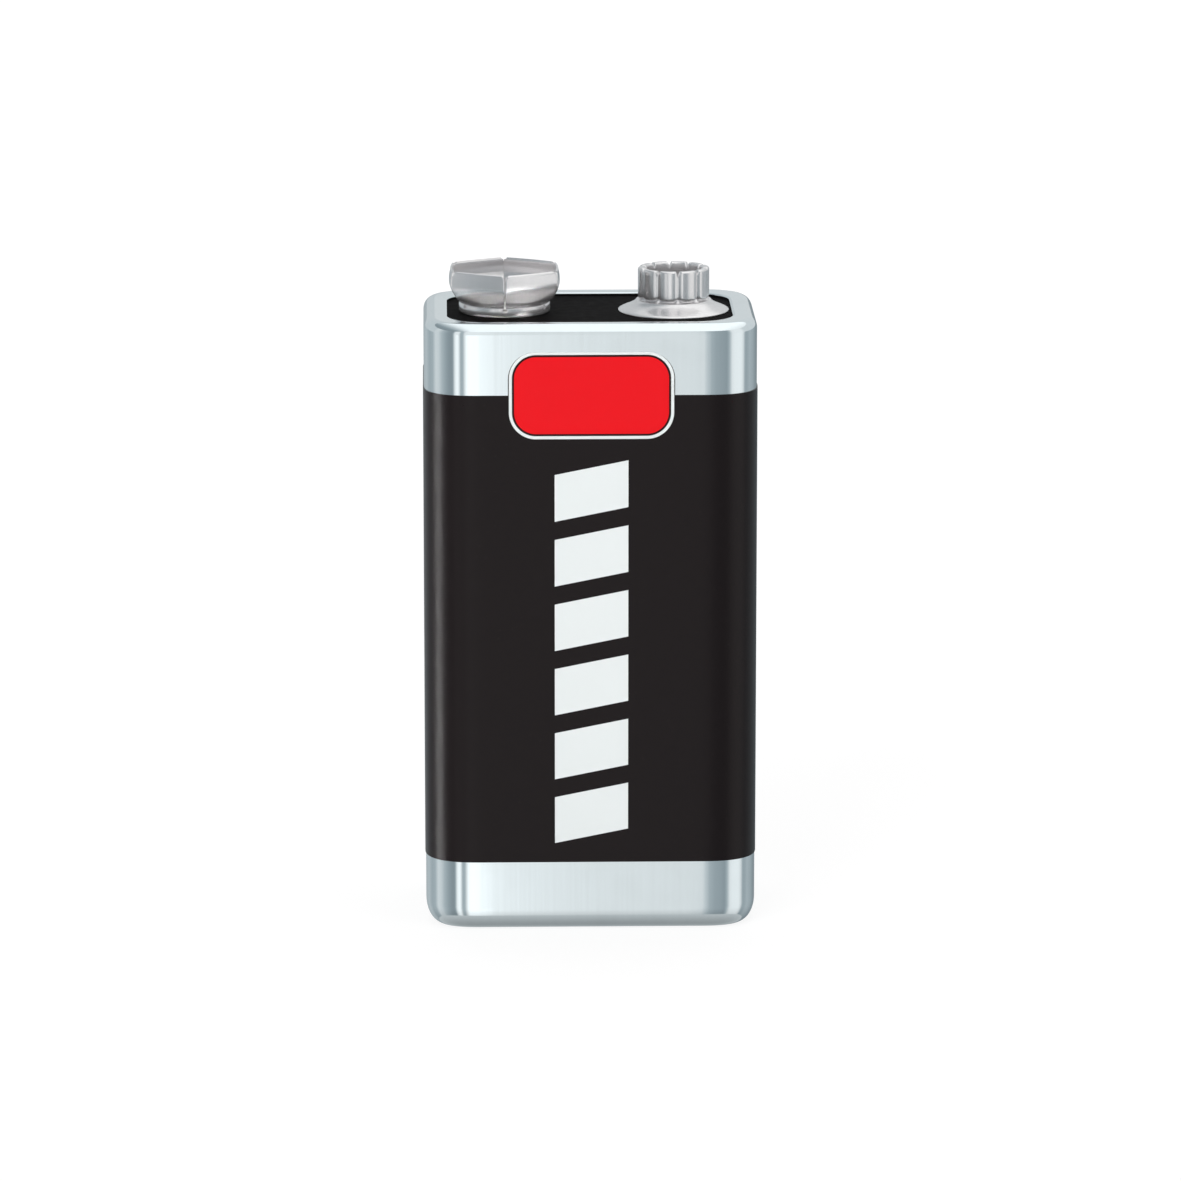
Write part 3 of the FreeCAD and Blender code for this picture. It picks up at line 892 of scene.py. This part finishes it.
def build_eyelet(centre, bottom, top):
    """A tubular rivet with a rolled head, from the foot below the board to the head."""
    bore, shank, head = 0.65 * MM, 1.0 * MM, 1.65 * MM
    floor = 0.3 * MM
    shoulder = floor + 0.04 * MM
    foot = bottom + 0.22 * MM
    profile = [
        (bore, bottom + 0.06 * MM),
        (bore + 0.08 * MM, bottom),
        (1.3 * MM, bottom + 0.03 * MM),
        (1.48 * MM, bottom + 0.12 * MM),
        (1.46 * MM, foot),
        (shank, foot),
        (shank, floor),
        (head - 0.03 * MM, floor),
    ]
    for sine, cosine in arc(12, end=math.pi):
        radius = (bore + head) / 2 + (head - bore) / 2 * cosine
        profile.append((radius, shoulder + (top - shoulder) * sine))
    profile.append((bore, floor - 0.3 * MM))
    angles = ramp(0.0, 2 * math.pi, 72)[:-1]
    rows = [
        [turned_point(centre, radius, angle, level) for angle in angles]
        for radius, level in profile
    ]
    return grid_mesh([rows], closed=True)


# Studio

WHITE = (1.0, 1.0, 1.0)
FLOOR_GREY = (0.86, 0.86, 0.86)
FLOOR_GLOW = 1.08
# How the floor turns from its shadow to white with the distance from the battery.
FLOOR_FADE = {"start": 0.08, "end": 0.4, "low": 0.78}
FLOOR_LEVEL = -0.02 * MM
FLOOR_REACH = 3.0
WALL_RADIUS = 6.0
WALL_BOTTOM = -5.0
WALL_SPLIT = 0.1
WALL_TOP = 4.2
WALL_STEP = 4.0
CEILING_LEVEL = WALL_TOP + 0.05
GROUND_REACH = 7.0
GROUND_GLOW = 0.76
UPPER_WALL_LIMIT = 0.96
# How the cards' glow rises with the slope from the ground to the horizon.
CARD_FALL = {"start": -1.0, "end": -0.37, "low": 0.43, "high": 0.91}
# The level under which a card turns blue, and how far under it that is complete.
BLUE_START = 0.85
BLUE_REACH = 0.5
MIDDLE = Vector((0.0, 0.0, 0.025))
# The glowing wall that the bright metal mirrors, as azimuths in degrees from the front and levels.
FRONT_WALL = (
    (-95.0, 0.76), (-82.0, 0.71), (-71.0, 0.53), (-60.0, 0.42), (-51.0, 0.35), (-43.0, 0.32),
    (-39.0, 0.36), (-34.0, 1.00), (-29.0, 1.20), (-26.0, 1.00), (-22.5, 0.47), (-18.0, 0.50),
    (-15.0, 0.90), (-11.5, 1.30), (0.3, 1.30), (0.5, 0.85), (3.0, 0.85), (5.0, 0.64), (8.0, 0.49),
    (15.0, 0.42), (26.0, 0.39), (35.0, 0.36), (41.0, 0.50), (48.0, 0.90), (56.0, 0.98),
    (68.0, 1.00), (77.0, 0.97), (84.0, 0.82),
)
LOWER_WALL = (
    (-180.0, 0.46), (-144.0, 0.57), (-124.0, 0.45), (-108.0, 0.49),
    *FRONT_WALL,
    (91.0, 0.45), (97.0, 0.42), (112.0, 0.50), (130.0, 0.45), (150.0, 0.32), (180.0, 0.32),
)
UPPER_WALL = (
    (-180.0, 0.66), (-102.0, 0.66),
    *((azimuth, min(level, UPPER_WALL_LIMIT)) for azimuth, level in FRONT_WALL),
    (91.0, 0.74), (180.0, 0.74),
)
# The glowing ceiling, as places across in metres and levels.
CEILING = (
    (-6.0, 0.30), (-4.2, 0.32), (-3.0, 0.36), (-1.8, 0.60), (-0.6, 1.15), (0.6, 1.25),
    (1.8, 1.25), (3.0, 1.15), (4.2, 1.05), (6.0, 1.0),
)
TERMINALS = ("socket_crown", "stud_crown")
# Lamps, as name, place, width, height, power and the only pieces that they light, if any.
LAMPS = (
    ("right_sheen_lamp", (0.58, -0.16, -0.70), 0.5, 0.6, 0.62, TERMINALS),
    ("left_sheen_lamp", (-0.58, -0.16, -0.70), 0.5, 0.6, 0.42, TERMINALS),
    ("front_sheen_lamp", (0.0, -0.12, -0.90), 0.8, 0.5, 1.3, ("socket_crown",)),
    ("glint_lamp", (0.533, -0.515, -0.25), 0.3, 0.22, 0.6, ("socket_crown",)),
    ("edge_lamp", (-0.796, -0.084, -0.145), 0.34, 1.2, 7.2, ("label_film",)),
    ("key_lamp", (-0.5, -0.9, 0.7), 0.6, 0.6, 5.5, ()),
    ("fill_lamp", (0.8, -0.6, 0.4), 0.6, 0.6, 2.5, ()),
    ("top_lamp", (0.0, 0.3, 1.0), 0.6, 0.6, 3.0, ()),
)


def card_material():
    """A card that glows at the level kept in its points, dimmer towards the ground."""
    material = bpy.data.materials.new("studio card")
    tree = empty_tree(material)
    level = add_node(tree, "ShaderNodeAttribute", attribute_name="glow").outputs["Color"]
    away = add_node(tree, "ShaderNodeVectorMath", {0: object_place(tree)}, operation="NORMALIZE")
    slope = add_node(tree, "ShaderNodeSeparateXYZ", {0: away.outputs[0]}).outputs["Z"]
    fall = map_range(tree, slope, **CARD_FALL)
    glow = add_node(tree, "ShaderNodeEmission", {"Color": level, "Strength": fall})
    add_node(tree, "ShaderNodeOutputMaterial", {0: glow.outputs[0]})
    arrange(tree)
    return material


def card_tint(level):
    """A card's colour at its level, bluer where it is dim."""
    blue = min(max((BLUE_START - level) / BLUE_REACH, 0.0), 1.0)
    return (level * (0.985 - 0.12 * blue), level, level * (1.0 + 0.07 * blue), 1.0)


def stage_object(name, grid, material, levels=None):
    """A piece of the studio, which may have a glow level for each point of a row."""
    mesh = grid_mesh([grid])
    if levels:
        glow = mesh.verts.layers.float_color.new("glow")
        for index, point in enumerate(mesh.verts):
            point[glow] = card_tint(levels[index % len(levels)])
    staged = mesh_object(name, mesh, material)
    return staged


def add_card(name, grid, levels, material):
    """A glowing card that shows in reflections and nowhere else."""
    card = stage_object(name, grid, material, levels)
    for rays in ("camera", "diffuse", "transmission", "volume_scatter", "shadow"):
        setattr(card, f"visible_{rays}", False)


def flat_grid(places, reach, level):
    """Two rows of points at one level, before and behind the battery."""
    return [[Vector((x, y, level)) for x in places] for y in (-reach, reach)]


def add_wall(name, stops, bottom, top, material):
    """A wall round the battery whose glow drifts from one stop to the next."""
    turns = []
    for start, end in zip(stops, stops[1:]):
        steps = math.ceil((end[0] - start[0]) / WALL_STEP)
        turns += list(zip(ramp(start[0], end[0], steps), ramp(start[1], end[1], steps)))[:-1]
    turns.append(stops[-1])
    grid = []
    for height in ramp(bottom, top, 6):
        row = []
        for azimuth, level in turns:
            angle = math.radians(azimuth)
            row.append(Vector((WALL_RADIUS * math.sin(angle), -WALL_RADIUS * math.cos(angle), height)))
        grid.append(row)
    add_card(name, grid, [level for azimuth, level in turns], material)


def add_cards():
    """The walls, the ceiling and the ground card that the metal mirrors."""
    material = card_material()
    add_wall("lower_wall", LOWER_WALL, WALL_BOTTOM, WALL_SPLIT, material)
    add_wall("upper_wall", UPPER_WALL, WALL_SPLIT, WALL_TOP, material)
    places, levels = zip(*CEILING)
    add_card("ceiling", flat_grid(places, WALL_RADIUS, CEILING_LEVEL), levels, material)
    ground = flat_grid((-GROUND_REACH, GROUND_REACH), GROUND_REACH, WALL_BOTTOM)
    add_card("ground_card", ground, (GROUND_GLOW, GROUND_GLOW), material)


def background_factor(tree):
    """A socket that is 1 where the camera, a reflection or glass looks."""
    rays = add_node(tree, "ShaderNodeLightPath").outputs
    seen = math_node(tree, "ADD", rays["Is Camera Ray"], rays["Is Glossy Ray"])
    return math_node(tree, "ADD", seen, rays["Is Transmission Ray"], clamp=True)


def finish_backdrop(tree, factor, lit, seen, output):
    """Mixes what lights the battery with what the camera sees and feeds the tree's output."""
    mix = add_node(tree, "ShaderNodeMixShader", {0: factor, 1: lit.outputs[0], 2: seen.outputs[0]})
    add_node(tree, output, {0: mix.outputs[0]})
    arrange(tree)


def add_world(studio):
    """White behind the battery and even light on it."""
    world = bpy.data.worlds.new("studio")
    bpy.context.scene.world = world
    tree = empty_tree(world)
    even = add_node(tree, "ShaderNodeBackground", {"Color": WHITE, "Strength": studio.ambient})
    white = add_node(tree, "ShaderNodeBackground", {"Color": WHITE, "Strength": 1.0})
    finish_backdrop(tree, background_factor(tree), even, white, "ShaderNodeOutputWorld")


def add_floor():
    """A pale floor that keeps a soft shadow and fades to white further away."""
    material = bpy.data.materials.new("pale floor")
    tree = empty_tree(material)
    paint = add_node(tree, "ShaderNodeBsdfDiffuse", {"Color": FLOOR_GREY})
    glow = add_node(tree, "ShaderNodeEmission", {"Color": WHITE, "Strength": FLOOR_GLOW})
    away = add_node(tree, "ShaderNodeVectorMath", {0: object_place(tree)}, operation="LENGTH")
    fade = map_range(tree, away.outputs["Value"], **FLOOR_FADE)
    weight = math_node(tree, "MULTIPLY", background_factor(tree), fade)
    finish_backdrop(tree, weight, paint, glow, "ShaderNodeOutputMaterial")
    grid = flat_grid((-FLOOR_REACH, FLOOR_REACH), FLOOR_REACH, FLOOR_LEVEL)
    stage_object("pale_floor", grid, material).visible_glossy = False


def add_lamp(name, place, width, height, power, pieces):
    """A soft lamp that looks at the battery, mirrored only where it lights some pieces alone."""
    data = bpy.data.lights.new(name, "AREA")
    data.shape = "RECTANGLE"
    data.size = width
    data.size_y = height
    data.energy = power
    lamp = new_object(name, data)
    lamp.location = place
    lamp.rotation_euler = (MIDDLE - Vector(place)).to_track_quat("-Z", "Y").to_euler()
    lamp.visible_camera = False
    lamp.visible_glossy = bool(pieces)
    if pieces:
        light_only(lamp, pieces)


def light_only(lamp, pieces):
    """Lets a lamp light some pieces and no others, shaded by those pieces alone."""
    lit = bpy.data.collections.new(f"lit by {lamp.name}")
    for piece in pieces:
        lit.objects.link(bpy.data.objects[piece])
    lamp.light_linking.receiver_collection = lit
    lamp.light_linking.blocker_collection = lit
    lamp.data.cycles.use_multiple_importance_sampling = False


def add_camera(studio):
    """The camera at the photograph's angle."""
    data = bpy.data.cameras.new("camera")
    data.lens = studio.lens
    data.sensor_width = 36.0
    data.shift_x = 0.0013
    data.clip_start = 0.01
    level = math.cos(studio.elevation)
    back = Vector((
        math.sin(studio.azimuth) * level,
        -math.cos(studio.azimuth) * level,
        math.sin(studio.elevation),
    ))
    camera = new_object("camera", data)
    camera.location = Vector((0.0, 0.0, studio.target)) + back * studio.distance
    camera.rotation_euler = (-back).to_track_quat("-Z", "Y").to_euler()
    bpy.context.scene.camera = camera
    bpy.context.scene.view_settings.view_transform = "Standard"


# Operators


def node_middle(node, level=None):
    """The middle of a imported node, at its lowest level or at another."""
    low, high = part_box(node)
    return Vector(((low.x + high.x) / 2, (low.y + high.y) / 2, low.z if level is None else level))


class BATTERY_OT_studio(Operator):
    """Sets up the camera, the lamps, the cards and the floor"""
    bl_idname = "battery.studio"
    bl_label = "Studio"

    def execute(self, context):
        studio = context.scene.battery_studio
        add_camera(studio)
        add_world(studio)
        add_floor()
        add_cards()
        for lamp in LAMPS:
            add_lamp(*lamp)
        return {"FINISHED"}


class BATTERY_OT_jacket(Operator):
    """Builds the bright jacket with its folded rims and its seam"""
    bl_idname = "battery.jacket"
    bl_label = "Jacket"

    def execute(self, context):
        jacket = context.scene.battery_jacket
        steel, roughness = jacket.steel, jacket.roughness
        material = metal_material("bright tinplate", steel, roughness, (1.0, 1.0, 0.02), 0.03)
        mesh = build_jacket(jacket)
        add_piece(mesh, "jacket_sheet", material, "jacket", jacket.sheet, 0.06 * MM)
        return {"FINISHED"}


class BATTERY_OT_label(Operator):
    """Builds the printed film with its tab and lap"""
    bl_idname = "battery.label"
    bl_label = "Label"

    def execute(self, context):
        label = context.scene.battery_label
        mesh = build_label(label, context.scene.battery_jacket)
        add_piece(mesh, "label_film", label_material(label), "label", label.film)
        return {"FINISHED"}


class BATTERY_OT_socket(Operator):
    """Builds the large snap terminal"""
    bl_idname = "battery.socket"
    bl_label = "Socket"

    def execute(self, context):
        socket = context.scene.battery_socket
        material = metal_material("nickel plating", socket.nickel, 0.25, (1.0, 1.0, 0.25), 0.05, 0.88)
        mesh = build_socket(socket, node_middle("negative_socket"))
        add_piece(mesh, "socket_crown", material, "negative_socket", socket.sheet, 0.05 * MM)
        return {"FINISHED"}


class BATTERY_OT_stud(Operator):
    """Builds the small snap terminal"""
    bl_idname = "battery.stud"
    bl_label = "Stud"

    def execute(self, context):
        mesh = build_stud(context.scene.battery_stud, node_middle("positive_stud"))
        material = bpy.data.materials["nickel plating"]
        add_piece(mesh, "stud_crown", material, "positive_stud")
        return {"FINISHED"}


class BATTERY_OT_eyelets(Operator):
    """Builds the two rivets that hold the terminals"""
    bl_idname = "battery.eyelets"
    bl_label = "Eyelets"

    def execute(self, context):
        material = metal_material("eyelet metal", (0.78, 0.77, 0.74), 0.24, (1.0, 1.0, 0.3), 0.08)
        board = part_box("terminal_board")[1].z
        for node in ("socket_eyelet", "stud_eyelet"):
            low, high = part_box(node)
            mesh = build_eyelet(node_middle(node, board), low.z - board, high.z - board)
            add_piece(mesh, f"{node}_rivet", material, node)
        return {"FINISHED"}


class BATTERY_OT_plates(Operator):
    """Finishes the terminal board and the base plate"""
    bl_idname = "battery.plates"
    bl_label = "Plates"

    def execute(self, context):
        board = film_material("board black", (0.0046, 0.0040, 0.0042), 0.6, 0.008, 0.01, 0.01 * MM)
        plate = film_material("plate black", (0.012, 0.012, 0.012), 0.55, 0.04, 0.35, 0.012 * MM)
        dress("terminal_board", board)
        dress("base_plate", plate)
        return {"FINISHED"}


class BATTERY_OT_inside(Operator):
    """Finishes the stack of cells and what holds and connects it"""
    bl_idname = "battery.inside"
    bl_label = "Inside"

    def execute(self, context):
        tinned = metal_material("tinned steel", (0.72, 0.73, 0.73), 0.28, (1.0, 0.05, 1.0), 0.12)
        zinc = metal_material("zinc", (0.52, 0.55, 0.58), 0.42, (0.05, 1.0, 1.0), 0.3)
        tape = film_material("tape film", (0.62, 0.46, 0.12), 0.35, 0.02)
        wrap = film_material("wrap film", (0.32, 0.36, 0.38), 0.22, 0.02)
        envelope = film_material("envelope film", (0.5, 0.52, 0.52), 0.3, 0.02)
        brown, dark_brown = (0.36, 0.25, 0.15), (0.28, 0.19, 0.11)
        liner = fibre_material("liner card", brown, dark_brown, 900.0, (1.0, 1.0, 0.2))
        pad = fibre_material("pad card", (0.3, 0.22, 0.14), (0.22, 0.16, 0.1), 700.0, (0.2, 1.0, 1.0))
        paper = fibre_material("separator paper", (0.7, 0.64, 0.52), (0.58, 0.52, 0.41), 1500.0)
        cathode = fibre_material("cathode black", (0.014, 0.013, 0.013), (0.03, 0.028, 0.027), 2600.0)
        finishes = {
            "stud_lead": tinned,
            "socket_lead": tinned,
            "bottom_contact": tinned,
            "top_contact": tinned,
            "lead_tape": tape,
            "stack_wrap": wrap,
            "card_liner": liner,
            "top_pad": pad,
            "zinc_plate": zinc,
            "separator": paper,
            "cathode_cake": cathode,
            "cell_envelope": envelope,
        }
        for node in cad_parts:
            finish = finishes.get(node) or finishes.get(node.rpartition("_")[0])
            if finish:
                dress(node, finish)
        return {"FINISHED"}


class BATTERY_PT_panel(Panel):
    """Lists the battery's pieces"""
    bl_idname = "BATTERY_PT_panel"
    bl_label = "Battery"
    bl_space_type = "VIEW_3D"
    bl_region_type = "UI"
    bl_category = "Battery"

    def draw(self, context):
        for operator in OPERATORS:
            self.layout.operator(operator.bl_idname)
        for holder in SETTINGS:
            settings = getattr(context.scene, holder)
            box = self.layout.box()
            for name in settings.__annotations__:
                box.prop(settings, name)


# The studio comes last, because some of its lamps light finished pieces alone.
OPERATORS = (
    BATTERY_OT_jacket,
    BATTERY_OT_label,
    BATTERY_OT_socket,
    BATTERY_OT_stud,
    BATTERY_OT_eyelets,
    BATTERY_OT_plates,
    BATTERY_OT_inside,
    BATTERY_OT_studio,
)
SETTINGS = {
    "battery_jacket": BatteryJacketSettings,
    "battery_label": BatteryLabelSettings,
    "battery_socket": BatterySocketSettings,
    "battery_stud": BatteryStudSettings,
    "battery_studio": BatteryStudioSettings,
}


def register():
    """Makes the settings, the operators and the panel known to Blender."""
    for holder, settings in SETTINGS.items():
        bpy.utils.register_class(settings)
        setattr(bpy.types.Scene, holder, bpy.props.PointerProperty(type=settings))
    for operator in OPERATORS:
        bpy.utils.register_class(operator)
    bpy.utils.register_class(BATTERY_PT_panel)


def unregister():
    """Takes the settings, the operators and the panel away again."""
    bpy.utils.unregister_class(BATTERY_PT_panel)
    for operator in reversed(OPERATORS):
        bpy.utils.unregister_class(operator)
    for holder, settings in SETTINGS.items():
        delattr(bpy.types.Scene, holder)
        bpy.utils.unregister_class(settings)


def main():
    """Builds the whole scene."""
    register()
    for operator in OPERATORS:
        group, name = operator.bl_idname.split(".")
        getattr(getattr(bpy.ops, group), name)()


if __name__ == "__main__":
    main()
